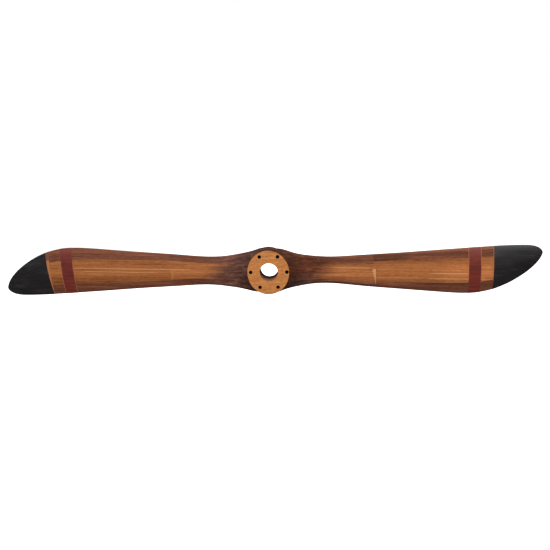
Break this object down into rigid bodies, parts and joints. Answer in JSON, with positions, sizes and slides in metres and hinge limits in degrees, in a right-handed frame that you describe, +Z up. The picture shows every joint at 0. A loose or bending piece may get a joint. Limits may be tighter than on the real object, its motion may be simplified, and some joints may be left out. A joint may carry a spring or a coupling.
{
  "type": "laminated wooden airscrew",
  "caption": "Fixed-pitch wooden airscrew with two swept blades carved from glued light and dark boards, a drilled round boss and painted tips.",
  "frame": {"origin": "centre of the shaft bore, half way through the boss", "axes": "+X along the blades, +Y along the shaft towards the engine side, so the front face looks to -Y, +Z up with the blades level"},
  "size_m": [1.851, 0.0618, 0.235],
  "materials": {
    "light_wood": "satin varnish over light straight-grained wood",
    "brown_wood": "satin varnish over mid-brown wood",
    "dark_wood": "satin varnish over dark brown wood",
    "bare_wood": "sanded light wood, almost matt",
    "black_paint": "satin black paint film",
    "red_paint": "satin dark red paint film"
  },
  "bodies": {
    "root": {"boss_front_board": "bare_wood", "dark_board_front": "dark_wood", "face_board_left": "light_wood", "face_board_centre": "light_wood", "face_board_right": "light_wood", "dark_board_face_edge_left": "dark_wood", "dark_board_face_edge_centre": "dark_wood", "dark_board_face_edge_right": "dark_wood", "brown_board_edge_left": "brown_wood", "brown_board_edge_centre": "brown_wood", "brown_board_edge_right": "brown_wood", "dark_board_leading_edge_left": "dark_wood", "dark_board_leading_edge_centre": "dark_wood", "dark_board_leading_edge_right": "dark_wood", "light_board_middle_left": "light_wood", "light_board_middle_centre": "light_wood", "light_board_middle_right": "light_wood", "dark_board_back": "dark_wood", "light_board_back": "light_wood", "dark_board_shank": "dark_wood", "light_board_rear": "light_wood", "dark_board_rear": "dark_wood", "boss_rear_board": "bare_wood", "black_tip_left": "black_paint", "black_tip_right": "black_paint", "red_band_left": "red_paint", "red_band_right": "red_paint"}
  },
  "joints": []
}
